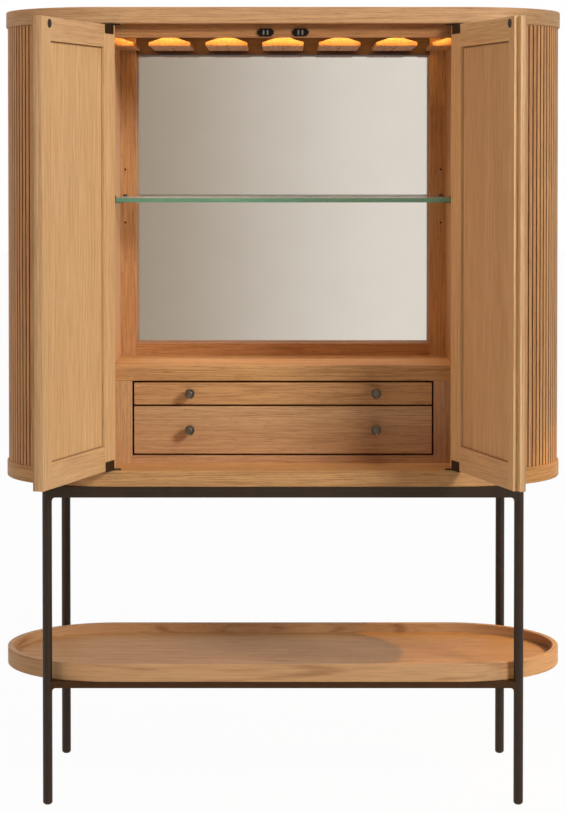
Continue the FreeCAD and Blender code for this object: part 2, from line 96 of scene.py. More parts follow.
def hex_colour(code: str) -> tuple[float, float, float, float]:
    """Turns an sRGB hex value into a linear colour.

    Args:
        code: The colour, written as #RRGGBB.

    Returns:
        Linear red, green and blue, and an alpha of one.
    """
    levels = [int(code[i : i + 2], 16) / 255 for i in (1, 3, 5)]
    linear = [v / 12.92 if v <= 0.04045 else ((v + 0.055) / 1.055) ** 2.4 for v in levels]
    return (*linear, 1.0)


def add_node(
    tree: Tree,
    kind: str,
    settings: dict[str, object] | None = None,
    inputs: dict[str | int, object] | None = None,
) -> Node:
    """Adds a node, with constants set straight on its inputs and sockets linked to them.

    Args:
        tree: The node tree that takes the node.
        kind: The node's type.
        settings: Properties of the node.
        inputs: Values or output sockets, by the name or number of the input.

    Returns:
        The new node.
    """
    node = tree.nodes.new(kind)
    for key, value in (settings or {}).items():
        setattr(node, key, value)
    for key, value in (inputs or {}).items():
        if isinstance(value, Socket):
            tree.links.new(value, node.inputs[key])
        else:
            node.inputs[key].default_value = value
    return node


def bare_material(name: str) -> tuple[Material, Tree]:
    """Makes a material whose node tree is empty.

    Args:
        name: The material's name.

    Returns:
        The material and its node tree.
    """
    material = bpy.data.materials.new(name)
    material.use_nodes = True
    material.node_tree.nodes.clear()
    return material, material.node_tree


def show(tree: Tree, shader: Node) -> None:
    """Leads a shader to the material's output."""
    add_node(tree, "ShaderNodeOutputMaterial", inputs={"Surface": shader.outputs[0]})


def dress(name: str, pattern: Callable[[Tree], dict[str, object]]) -> Material:
    """Makes a material of one Principled shader.

    Args:
        name: The material's name.
        pattern: Adds the pattern's nodes to a tree and gives the shader's inputs.

    Returns:
        The material.
    """
    material, tree = bare_material(name)
    show(tree, add_node(tree, "ShaderNodeBsdfPrincipled", inputs=pattern(tree)))
    return material


def own_place(tree: Tree) -> Socket:
    """Gives a piece's own coordinates."""
    return add_node(tree, "ShaderNodeTexCoord").outputs["Object"]


def laid(tree: Tree, name: str, output: str = "Fac") -> Socket:
    """Reads an attribute that lay_grain wrote."""
    return add_node(tree, "ShaderNodeAttribute", {"attribute_name": name}).outputs[output]


def rate(size_mm: float) -> float:
    """Turns the size of a pattern into a texture's scale."""
    return 1 / (size_mm * MM)


def sums(tree: Tree, operation: str, *values: object, kind: str = "ShaderNodeMath") -> Socket:
    """Adds one step of arithmetic."""
    return add_node(tree, kind, {"operation": operation}, dict(enumerate(values))).outputs[0]


def noise(tree: Tree, place: Socket, scale: float, detail: float, rough: float = 0.5) -> Socket:
    """Adds noise at a texture's scale."""
    inputs = {"Vector": place, "Scale": scale, "Detail": detail, "Roughness": rough}
    return add_node(tree, "ShaderNodeTexNoise", inputs=inputs).outputs["Fac"]


def blend(tree: Tree, share: Socket, below: object, above: str) -> Socket:
    """Lays a colour over another by a share."""
    inputs = {"Fac": share, "Color1": below, "Color2": hex_colour(above)}
    return add_node(tree, "ShaderNodeMixRGB", inputs=inputs).outputs["Color"]


def mapped(tree: Tree, value: Socket, low: float, high: float) -> Socket:
    """Carries zero to one over to the span from low to high."""
    inputs = {"Value": value, "To Min": low, "To Max": high}
    return add_node(tree, "ShaderNodeMapRange", inputs=inputs).outputs["Result"]


def ramp(tree: Tree, value: Socket, span: Pair, top: float = 1.0) -> Socket:
    """Adds a smooth step from zero at a span's start to top at its end."""
    inputs = {"Value": value, "From Min": span[0], "From Max": span[1], "To Max": top}
    return add_node(tree, "ShaderNodeMapRange", SMOOTH, inputs).outputs["Result"]


def dents(tree: Tree, strength: float, relief_mm: float, height: Socket) -> Socket:
    """Adds relief of a depth in millimetres."""
    inputs = {"Strength": strength, "Distance": relief_mm * MM, "Height": height}
    return add_node(tree, "ShaderNodeBump", inputs=inputs).outputs["Normal"]


@dataclass(frozen=True)
class LacqueredOak:
    """White oak under a clear matt lacquer.

    The eye sees a pale tan ground, nested growth rings that run to flames on
    flat-sawn boards, fine fibres along the board and short open pores. Sizes
    of two numbers are lengths along the board and across it.
    """

    name: str
    pale: str
    ground: str
    late_wood: str
    pore: str
    groove: str = "#3A1D0A"  # colour of the painted shade in grooves, holes, recesses and behind the rack, where light does not reach
    ring_mm: float = 6.0  # rings are 2 to 4 mm apart on the tree, drawn coarser to show
    fibre_mm: float = 2.2  # fibres are finer than a pixel, drawn coarser to show
    pore_mm: float = 1.25  # pores are 0.3 mm wide, drawn coarser to show
    figure: float = 0.45
    streak: float = 0.54
    fleck: float = 0.55
    bands: float = 0.75
    taper: float = 0.045  # how far the rings lean along the board
    sway_mm: Pair = (420.0, 60.0)
    sway_reach_mm: float = 34.0
    band_mm: Pair = (1100.0, 48.0)
    patch_mm: Pair = (150.0, 20.0)  # patches in which the rings stand out
    fibre_length_mm: float = 120.0
    pore_length_mm: float = 34.0
    breakup: float = 0.6  # how rough the noise in all of these is
    ring_span: Pair = (0.62, 1.0)  # where in each pattern its colour comes in
    band_span: Pair = (0.22, 0.78)
    patch_span: Pair = (0.32, 0.68)
    fibre_span: Pair = (0.40, 0.68)
    pore_span: Pair = (0.56, 0.70)
    board_steps: Spot = (37.0, 11.3, 91.7)  # moves the patterns from board to board
    board_hue: Pair = (0.008, 0.496)  # what a board's own number adds, and the least
    board_value: Pair = (0.12, 0.94)
    gloss: Pair = (0.20, 0.46)  # what the fibres add to the roughness, and the least
    fibre_relief: float = 0.6
    relief: float = 0.25
    relief_mm: float = 0.35
    lacquer_ior: float = 1.48
    sheen: float = 0.3

    def pattern(self, tree: Tree) -> dict[str, object]:
        """Adds the oak's nodes, which read the boards' own grain attributes and their painted shade.

        Args:
            tree: The material's tree.

        Returns:
            The shader's inputs.
        """
        step, over, soft = partial(sums, tree), partial(blend, tree), partial(ramp, tree)
        vectors = partial(sums, tree, kind="ShaderNodeVectorMath")
        grain, board = laid(tree, "grain", "Vector"), laid(tree, "board")
        apart = vectors("MULTIPLY", self.board_steps, board)

        def streaks(along_mm: float, across_mm: float, detail: float = 3.0) -> Socket:
            """Adds noise drawn out along the board and different on each board."""
            scale = (rate(along_mm), rate(across_mm), rate(across_mm))
            return noise(tree, vectors("MULTIPLY_ADD", grain, scale, apart), 1.0, detail, self.breakup)

        axes = add_node(tree, "ShaderNodeSeparateXYZ", inputs={0: grain}).outputs
        sway = step("SUBTRACT", streaks(*self.sway_mm), 0.5)
        across = step("MULTIPLY_ADD", sway, self.sway_reach_mm * MM, axes["Y"])
        lean = step("MULTIPLY_ADD", axes["X"], self.taper, axes["Z"])
        squares = step("ADD", step("MULTIPLY", across, across), step("MULTIPLY", lean, lean))
        rings = step("DIVIDE", step("POWER", squares, 0.5), self.ring_mm * MM)
        ring = soft(step("PINGPONG", rings, 1.0), self.ring_span)
        fibre = streaks(self.fibre_length_mm, self.fibre_mm)
        pores = soft(streaks(self.pore_length_mm, self.pore_mm, 2.0), self.pore_span)
        clear = soft(streaks(*self.patch_mm), self.patch_span, self.figure)
        band = soft(streaks(*self.band_mm), self.band_span, self.bands)
        colour = over(band, hex_colour(self.pale), self.ground)
        colour = over(step("MULTIPLY", ring, clear), colour, self.late_wood)
        colour = over(soft(fibre, self.fibre_span, self.streak), colour, self.late_wood)
        colour = over(step("MULTIPLY", pores, self.fleck), colour, self.pore)
        tones = {
            # Painted shade is laid over the grain where a board carries it.
            "Color": over(laid(tree, "groove"), colour, self.groove),
            "Hue": step("MULTIPLY_ADD", board, *self.board_hue),
            "Value": step("MULTIPLY_ADD", board, *self.board_value),
        }
        height = step("MULTIPLY_ADD", pores, -1.0, step("MULTIPLY", fibre, -self.fibre_relief))
        return {
            "Base Color": add_node(tree, "ShaderNodeHueSaturation", inputs=tones).outputs["Color"],
            "Roughness": step("MULTIPLY_ADD", fibre, *self.gloss),
            "Normal": dents(tree, self.relief, self.relief_mm, height),
            "IOR": self.lacquer_ior,
            "Specular IOR Level": self.sheen,
        }


@dataclass(frozen=True)
class MottledFinish:
    """A smooth finish whose colour and gloss drift a little over the surface.

    It serves coated and plated metal and moulded plastic: a mottle some
    millimetres across, and a finer orange peel or brushing in the gloss.
    """

    name: str
    light: str
    dark: str
    metallic: float
    roughness: float
    mottle_mm: float
    peel_mm: float
    brushed: float = 1.0
    relief_mm: float = 0.02
    relief: float = 0.2
    sheen: float = 0.5
    gloss_drift: float = 0.08

    def pattern(self, tree: Tree) -> dict[str, object]:
        """Adds the finish's nodes on the piece's own coordinates.

        Args:
            tree: The material's tree.

        Returns:
            The shader's inputs.
        """
        place, fine = own_place(tree), rate(self.peel_mm)
        brushing = {"Vector": place, "Scale": (fine / self.brushed, fine, fine)}
        peel_at = add_node(tree, "ShaderNodeMapping", {"vector_type": "POINT"}, brushing)
        peel = noise(tree, peel_at.outputs["Vector"], 1.0, 2.0)
        mottle = noise(tree, place, rate(self.mottle_mm), 3.0)
        low, high = self.roughness - self.gloss_drift, self.roughness + self.gloss_drift
        return {
            "Base Color": blend(tree, mottle, hex_colour(self.light), self.dark),
            "Roughness": mapped(tree, peel, low, high),
            "Normal": dents(tree, self.relief, self.relief_mm, peel),
            "Metallic": self.metallic,
            "Specular IOR Level": self.sheen,
        }


@dataclass(frozen=True)
class SilveredGlass:
    """Mirror: silvered float glass, with a faint haze from wiping."""

    name: str = "silvered_float_glass"
    tint: str = "#F2F1EE"
    haze: str = "#ECEBE7"
    wipe_mm: float = 90.0  # about a hand's width
    gloss: Pair = (0.01, 0.05)

    def pattern(self, tree: Tree) -> dict[str, object]:
        """Adds the mirror's nodes.

        Args:
            tree: The material's tree.

        Returns:
            The shader's inputs.
        """
        wiped = noise(tree, own_place(tree), rate(self.wipe_mm), 2.0)
        colour = blend(tree, wiped, hex_colour(self.tint), self.haze)
        return {"Base Color": colour, "Roughness": mapped(tree, wiped, *self.gloss), "Metallic": 1.0}


@dataclass(frozen=True)
class FloatGlass:
    """Clear float glass: nearly colourless through its thickness, green along its edges."""

    name: str
    tint: str
    deep: str
    transmission: float
    roughness: float
    alpha: float = 1.0  # below one, light and shadow pass straight through the plate
    drift_mm: float = 60.0
    ior: float = 1.52

    def pattern(self, tree: Tree) -> dict[str, object]:
        """Adds the glass's nodes, with a slow drift of its green.

        Args:
            tree: The material's tree.

        Returns:
            The shader's inputs.
        """
        drift = noise(tree, own_place(tree), rate(self.drift_mm), 2.0)
        return {
            "Base Color": blend(tree, drift, hex_colour(self.tint), self.deep),
            "Transmission Weight": self.transmission,
            "Roughness": self.roughness,
            "Alpha": self.alpha,
            "IOR": self.ior,
        }


@dataclass(frozen=True)
class WarmDiffuser:
    """Opal acrylic over a row of warm lamps, which show as a soft ripple of light."""

    name: str = "opal_acrylic_diffuser"
    body: str = "#F3E3C6"
    glow: str = "#FFB45C"
    lamp_pitch_mm: float = 16.6
    strength: Pair = (4.0, 6.0)
    roughness: float = 0.5

    def pattern(self, tree: Tree) -> dict[str, object]:
        """Adds the glowing strip's nodes.

        Args:
            tree: The material's tree.

        Returns:
            The shader's inputs.
        """
        bands = {"wave_type": "BANDS", "bands_direction": "X", "wave_profile": "SIN"}
        # At a scale of one, bands are a tenth of pi apart.
        pitch = {"Vector": own_place(tree), "Scale": math.pi / (10 * self.lamp_pitch_mm * MM)}
        lamps = add_node(tree, "ShaderNodeTexWave", bands, pitch).outputs["Fac"]
        return {
            "Emission Strength": mapped(tree, lamps, *self.strength),
            "Base Color": hex_colour(self.body),
            "Emission Color": hex_colour(self.glow),
            "Roughness": self.roughness,
        }


class Finish(Enum):
    """Every finish on the armoire."""

    OAK = LacqueredOak("lacquered_white_oak", "#DFB178", "#C79560", "#A06C41", "#774E2F")
    # A darker copy of the oak: painted shade for boards that the top slab and the rack keep out of the light.
    OAK_DEEP = LacqueredOak("lacquered_oak_inside", "#C8925D", "#B0784C", "#8A5735", "#643F27")
    OAK_BAND = LacqueredOak("lacquered_oak_edge_band", "#DFB586", "#C99B6F", "#A2744D", "#7C5739")
    OAK_FIGURED = LacqueredOak(
        "lacquered_oak_rim_board", "#DFB586", "#C99B6F", "#94653F", "#7C5739",
        ring_mm=9.0, figure=0.6, streak=0.3, fleck=0.15,
    )
    OAK_VENEER = LacqueredOak(
        "lacquered_oak_veneer", "#EAC493", "#DAAE7D", "#BB8D62", "#966D49",
        fibre_mm=3.0, figure=0.55, streak=0.5, fleck=0.22,
    )
    OAK_SLAT = LacqueredOak("lacquered_oak_slats", "#DAAA74", "#C28E5B", "#9B6640", "#734B2D")
    OAK_END = LacqueredOak("lacquered_oak_end_slat", "#ECB67D", "#D29762", "#A96E45", "#7E5231")
    BRONZE = MottledFinish("bronze_powder_coat", "#382715", "#25190C", 0.45, 0.48, 26, 1.6)
    # A lighter, redder copy of the bronze for the stretchers: painted light and a painted warm reflection of
    # the oak tray.
    BRONZE_BAR = MottledFinish("bronze_powder_coat_bar", "#4E3115", "#37220D", 0.45, 0.52, 26, 1.6, sheen=0.3)
    KNOB = MottledFinish("antique_bronze", "#72685A", "#463D33", 0.85, 0.36, 7, 0.8)
    MIRROR = SilveredGlass()
    GLASS = FloatGlass("clear_float_glass", "#F2FBF7", "#E6F6EF", 1.0, 0.0, 0.3)
    GLASS_EDGE = FloatGlass("polished_glass_edge", "#68A28A", "#548E78", 0.2, 0.12)
    # A pale finish for the shelf's rear edge: a painted reflection of the light it gathers from the mirror
    # behind it.
    GLASS_BACK = FloatGlass("ground_glass_back_edge", "#E9E5DA", "#DAD6CA", 0.2, 0.3)
    PLASTIC = MottledFinish("black_acetal", "#15110E", "#0A0807", 0.0, 0.5, 5, 0.6, sheen=0.1)
    STEEL = MottledFinish("zinc_plated_steel", "#A3A09A", "#86837D", 1.0, 0.34, 6, 0.7, 8.0)
    RUNNER = MottledFinish("black_phosphate_steel", "#2E2D2B", "#201F1E", 0.7, 0.5, 8, 0.7, 8.0)
    POLE = MottledFinish("bright_zinc_poles", "#8F8C86", "#6B6862", 0.3, 0.4, 3, 0.5, 4.0)
    ALUMINIUM = MottledFinish("anodised_aluminium", "#C4C5C6", "#ADAEB0", 1.0, 0.38, 12, 0.6, 12.0)
    DIFFUSER = WarmDiffuser()


@cache
def finish_material(finish: Finish) -> Material:
    """Builds a finish once and hands out the same material after that."""
    return dress(finish.value.name, finish.value.pattern)


# Modelling


def take(piece: Object) -> None:
    """Deselects everything, then selects one object and makes it active.

    Args:
        piece: The object.
    """
    bpy.ops.object.select_all(action="DESELECT")
    piece.select_set(True)
    bpy.context.view_layer.objects.active = piece


@contextmanager
def editing(piece: Object) -> Iterator[None]:
    """Holds a piece in edit mode with everything selected.

    Args:
        piece: The piece to edit.

    Yields:
        Nothing.
    """
    take(piece)
    bpy.ops.object.mode_set(mode="EDIT")
    bpy.ops.mesh.select_all(action="SELECT")
    yield
    bpy.ops.object.mode_set(mode="OBJECT")


def set_place(piece: Object) -> None:
    """Puts a piece's place, turn and scale into its mesh."""
    take(piece)
    bpy.ops.object.transform_apply(location=True, rotation=True, scale=True)


def start_piece(name: str, add: Callable[..., object], **form: object) -> Object:
    """Starts a piece from a primitive.

    Args:
        name: The piece's name.
        add: The operator that adds the primitive.
        form: The operator's settings.

    Returns:
        The piece, its place in its mesh.
    """
    bpy.ops.object.select_all(action="DESELECT")
    add(**form)
    piece = bpy.context.active_object
    piece.name = piece.data.name = name
    set_place(piece)
    return piece


def solid_copy(node: str, name: str) -> Object:
    """Copies a CAD node as a new piece, its loose triangles merged into faces.

    Args:
        node: The CAD node.
        name: The new piece's name.

    Returns:
        The piece.
    """
    piece = bpy.data.objects.new(name, frame["nodes"][node].data.copy())
    piece.data.name = name
    piece.data.materials.clear()
    bpy.context.scene.collection.objects.link(piece)
    with editing(piece):
        bpy.ops.mesh.remove_doubles(threshold=MERGE_MM * MM)
        bpy.ops.mesh.customdata_custom_splitnormals_clear()
        bpy.ops.mesh.dissolve_limited(angle_limit=math.radians(FLAT_DEG))
    return piece


def ease(piece: Object, width_mm: float, segments: int = 2) -> None:
    """Rounds the sharp edges of a piece and shades it.

    Args:
        piece: The piece.
        width_mm: How far the rounding reaches from the edge.
        segments: Faces across the rounding.
    """
    take(piece)
    bevel = piece.modifiers.new("eased_edges", "BEVEL")
    bevel.width = width_mm * MM
    bevel.segments = segments
    bevel.limit_method = "ANGLE"
    bevel.angle_limit = math.radians(SHARP_DEG)
    bpy.ops.object.modifier_apply(modifier=bevel.name)
    shade(piece, SHARP_DEG)


def shade(piece: Object, angle: float) -> None:
    """Shades a piece smooth, with its flat faces kept flat.

    Args:
        piece: The piece.
        angle: Edges that turn by more degrees than this stay sharp.
    """
    take(piece)
    bpy.ops.object.shade_smooth_by_angle(angle=math.radians(angle))
    even = piece.modifiers.new("flat_faces", "WEIGHTED_NORMAL")
    even.keep_sharp = True
    bpy.ops.object.modifier_apply(modifier=even.name)


class Axis(Enum):
    """Turns about X and Y that point an upright piece along an axis."""

    DOWN = (math.pi, 0.0)
    FORWARD = (math.pi / 2, 0.0)
    BACKWARD = (-math.pi / 2, 0.0)


def turned(name: str, profile_mm: Sequence[Pair], sides: int) -> Object:
    """Turns a round piece on the Z axis: a disc, extruded and resized ring by ring.

    Args:
        name: The piece's name.
        profile_mm: Radius and height of each ring, from the base up.
        sides: Sides of each ring.

    Returns:
        The piece, standing on the origin.
    """
    (radius, height), *rest = profile_mm
    disc = {"vertices": sides, "radius": radius * MM, "fill_type": "NGON"}
    piece = start_piece(name, bpy.ops.mesh.primitive_circle_add, location=(0, 0, height * MM), **disc)
    with editing(piece):
        for next_radius, next_height in rest:
            rise = (0, 0, (next_height - height) * MM)
            bpy.ops.mesh.extrude_region_move(TRANSFORM_OT_translate={"value": rise})
            share = next_radius / radius
            bpy.ops.transform.resize(value=(share, share, 1), center_override=(0, 0, next_height * MM))
            radius, height = next_radius, next_height
        bpy.ops.mesh.select_all(action="SELECT")
        bpy.ops.mesh.normals_make_consistent(inside=False)
    shade(piece, TURNED_SHARP_DEG)
    return piece


def set_out(model: Object, places: list[Vector], axis: Axis, turn: float = 0.0) -> Object:
    """Copies a model to several places and joins the copies as one piece.

    Args:
        model: A piece modelled on the origin, which is used up and gives its name.
        places: Where the copies go.
        axis: Where the model's top points.
        turn: A further turn about the upright, in radians.

    Returns:
        The joined piece.
    """
    name, copies = model.name, []
    for spot in places:
        twin = bpy.data.objects.new(name, model.data.copy())
        bpy.context.scene.collection.objects.link(twin)
        twin.rotation_euler = (*axis.value, turn)
        twin.location = spot
        set_place(twin)
        copies.append(twin)
    bpy.data.objects.remove(model)
    joined, *others = copies
    take(joined)
    for twin in others:
        twin.select_set(True)
    if others:
        bpy.ops.object.join()
    joined.name = joined.data.name = name
    return joined


def screws(name: str, radius_mm: float, places: list[Vector], axis: Axis) -> Object:
    """Models low domed screw heads with round drive sockets."""
    profile = [(radius_mm * r, radius_mm * h) for r, h in SCREW_PROFILE]
    return set_out(turned(name, profile, SCREW_SIDES), places, axis)


# Grain


class Grain(Enum):
    """How the grain of a board runs: the axis it follows, or round the plan."""

    ALONG_X = 0
    ALONG_Y = 1
    UPRIGHT = 2
    AROUND = 3


class Cut(Enum):
    """How a board was sawn, as the distance in millimetres of the tree's heart from its middle."""

    QUARTER = (310.0, 150.0)
    RIFT = (120.0, 60.0)
    FLAT = (6.0, 26.0)


class Plan:
    """The pill-shaped plan of the cabinet, read from the top slab."""

    def __init__(self) -> None:
        """Reads the plan from the CAD node of the top slab."""
        low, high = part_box("top_panel")
        self.radius = (high.y - low.y) / 2
        self.middle_y = (high.y + low.y) / 2
        self.end_x = high.x - self.radius

    def past_end(self, spots: Array) -> tuple[Array, Array]:
        """Gives how far points lie past the straight part, and how far behind its middle."""
        return np.abs(spots[:, 0]) - self.end_x, spots[:, 1] - self.middle_y

    def around(self, spots: Array, normals: Array) -> Array:
        """Gives distance along the outline, level and depth for points on the edge.

        Args:
            spots: Points, one row each.
            normals: The normals of their faces.

        Returns:
            One row for each point.
        """
        x = spots[:, 0]
        past_end, behind = self.past_end(spots)
        turn = np.arctan2(behind, np.maximum(past_end, SLIVER_M)) + math.pi / 2
        on_end = np.sign(x) * (self.end_x + self.radius * turn)
        straight = np.where(normals[:, 1] > SQUARE, BACK_M - x, x)
        along = np.where(past_end > ON_END_M, on_end, straight)
        depth = np.where(past_end > 0, np.hypot(past_end, behind), np.abs(behind))
        return np.stack([along, spots[:, 2], depth], axis=1)


plan = Plan()
BoardNumbers = Callable[[Array, Array], Array]
PaintedShadeMap = Callable[[Array], Array]
Cuts = Sequence[tuple[Vector, list[float]]]


def read(items: bpy.types.bpy_prop_collection, field: str, kind: type, width: int) -> Array:
    """Reads a field of a mesh's elements, with one row for each.

    Args:
        items: The mesh's vertices, edges, faces or face corners.
        field: The field's name.
        kind: The type of its numbers.
        width: How many numbers each element has.

    Returns:
        The rows.
    """
    values = np.empty(len(items) * width, kind)
    items.foreach_get(field, values)
    return values.reshape(-1, width)


def loose_parts(mesh: bpy.types.Mesh) -> Array:
    """Numbers the separate boards of a mesh.

    Args:
        mesh: The mesh.

    Returns:
        A number for each vertex, the same all over one board.
    """
    one, other = read(mesh.edges, "vertices", np.int32, 2).T
    label = np.arange(len(mesh.vertices))
    while True:
        before = label.copy()
        least = np.minimum(label[one], label[other])
        np.minimum.at(label, one, least)
        np.minimum.at(label, other, least)
        label = label[label]
        if np.array_equal(before, label):
            return label


def lay_grain(
    piece: Object,
    run: Grain,
    seed: int,
    cut: Cut = Cut.RIFT,
    turn: float = 0.0,
    numbers: BoardNumbers | None = None,
    painted_shade_at: PaintedShadeMap | None = None,
) -> None:
    """Writes where each point of a piece lay in the tree, and its painted shade, which the oak finish reads.

    Args:
        piece: The piece.
        run: How its grain runs.
        seed: Sets the boards apart from those of other pieces.
        cut: How its boards were sawn.
        turn: The piece's turn about the upright, in radians.
        numbers: Gives the number of the board at each face from the faces'
            middles and normals; without it each loose part is one board.
        painted_shade_at: Gives how much shade is painted on each point, from zero to one.
    """
    mesh = piece.data
    cos, sin = math.cos(-turn), math.sin(-turn)
    unturn = np.array([[cos, -sin, 0], [sin, cos, 0], [0, 0, 1]])
    fields = ((mesh.vertices, "co"), (mesh.polygons, "center"), (mesh.polygons, "normal"))
    spots, middles, normals = (
        read(items, field, np.float32, 3).astype(float) @ unturn.T for items, field in fields
    )
    corners = read(mesh.loops, "vertex_index", np.int32, 1).ravel()
    starts = read(mesh.polygons, "loop_start", np.int32, 1).ravel()
    totals = read(mesh.polygons, "loop_total", np.int32, 1).ravel()
    face_of = np.repeat(np.arange(len(totals)), totals)
    board_of = numbers(middles, normals) if numbers else loose_parts(mesh)[corners[starts]]
    grain, tone = np.empty((len(corners), 3)), np.empty(len(totals))
    side, depth = cut.value
    for board in np.unique(board_of):
        chance = random.Random(seed * SEED_STEP + int(board))
        own_faces = board_of == board
        own = own_faces[face_of]
        points, facing = spots[corners[own]], normals[face_of[own]]
        centre = np.mean([points.min(0), points.max(0)], axis=0)
        if run is Grain.AROUND:
            on_edge = np.abs(facing[:, 2:]) < TOWARDS
            rows = plan.around(points, facing) - np.array([0, centre[2], plan.radius])
            rows = np.where(on_edge, rows, points - centre)
        else:
            reach = np.ptp(points, axis=0)
            others = sorted((i for i in range(3) if i != run.value), key=lambda i: -reach[i])
            rows = (points - centre)[:, [run.value, *others]]
        rows[:, 0] += chance.uniform(-SLIDE_M, SLIDE_M)
        rows[:, 1] += side * MM * chance.uniform(*VARY) * chance.choice((-1, 1))
        rows[:, 2] += depth * MM * chance.uniform(*VARY)
        grain[own] = rows
        tone[own_faces] = chance.random()
    layers = [("grain", "FLOAT_VECTOR", "CORNER", "vector", grain), ("board", "FLOAT", "FACE", "value", tone)]
    # The painted shade goes in a layer of its own, which the oak finish lays over the grain.
    if painted_shade_at:
        layers.append(("groove", "FLOAT", "POINT", "value", painted_shade_at(spots)))
    for name, kind, domain, field, values in layers:
        layer = mesh.attributes.new(name, kind, domain)
        layer.data.foreach_set(field, values.astype(np.float32).ravel())


# Placing pieces


def settle(piece: Object, finish: Finish, body: str, slot: str, *nodes: str) -> Object:
    """Dresses a piece, lets it ride on its body and stand for its CAD nodes.

    Args:
        piece: The piece.
        finish: Its finish.
        body: The CAD body that it rides on.
        slot: The record's material slot. Not used.
        nodes: The CAD nodes that it stands for.

    Returns:
        The piece.
    """
    piece.data.materials.clear()
    piece.data.materials.append(finish_material(finish))
    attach(piece, body)
    if nodes:
        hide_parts(*nodes)
    log.info("%s rides on %s", piece.name, body)
    return piece


@dataclass
class OakPart:
    """One oak piece that stands for a CAD solid, with its edges eased."""

    node: str
    run: Grain
    edge_mm: float = 1.0
    cut: Cut = Cut.RIFT
    body: str = "cabinet"
    turn: float = 0.0
    segments: int = 2
    finish: Finish = Finish.OAK

    def build(
        self,
        seed: int,
        numbers: BoardNumbers | None = None,
        joints: Cuts = (),
        painted_shade_at: PaintedShadeMap | None = None,
    ) -> Object:
        """Models the piece, lays its grain and settles it.

        Args:
            seed: Sets its boards apart.
            numbers: Numbers its boards by face, if it isn't one board to a loose part.
            joints: Directions, and the places along each of the joint lines to cut,
                which leave the piece whole.
            painted_shade_at: Gives how much shade is painted on each point, from zero to one.

        Returns:
            The piece.
        """
        piece = solid_copy(self.node, f"oak_{self.node}")
        for normal, places in joints:
            with editing(piece):
                for spot in places:
                    bpy.ops.mesh.select_all(action="SELECT")
                    bpy.ops.mesh.bisect(plane_co=normal * spot, plane_no=normal)
        ease(piece, self.edge_mm, self.segments)
        lay_grain(piece, self.run, seed, self.cut, self.turn, numbers, painted_shade_at)
        return settle(piece, self.finish, self.body, "oak", self.node)

    def build_veneered(self, seed: int, lines: list[float]) -> None:
        """Builds the piece with flat faces of veneer leaves and one band round its edge.

        Args:
            seed: Sets its leaves apart.
            lines: The joint lines between the leaves, from front to back.
        """

        def leaf(middles: Array, normals: Array) -> Array:
            """Counts the joint lines in front of each face's middle."""
            leaves = np.searchsorted(lines, middles[:, 1])
            return np.where(np.abs(normals[:, 2]) > TOWARDS, leaves, len(lines) + 1)

        self.build(seed, leaf, [(Y_AXIS, lines)])


@dataclass
class MetalPart:
    """One metal, plastic or glass piece that stands for a CAD solid."""

    node: str
    finish: Finish
    slot: str
    edge_mm: float = 0.4
    body: str = "cabinet"
    segments: int = 2

    def build(self) -> Object:
        """Models and settles the piece.

        Returns:
            The piece.
        """
        piece = solid_copy(self.node, f"{self.slot}_{self.node}")
        ease(piece, self.edge_mm, self.segments)
        return settle(piece, self.finish, self.body, self.slot, self.node)


def groove_painted_shade(depth: Array, ramp_mm: float) -> Array:
    """Turns depth below a slatted face into painted shade for the grooves between slats."""
    share = np.clip((depth / MM - GROOVE_START_MM) / ramp_mm, 0.0, 1.0)
    return share * (depth < GROOVE_END_MM * MM) * GROOVE_PAINTED_SHADE


# Sub-assemblies


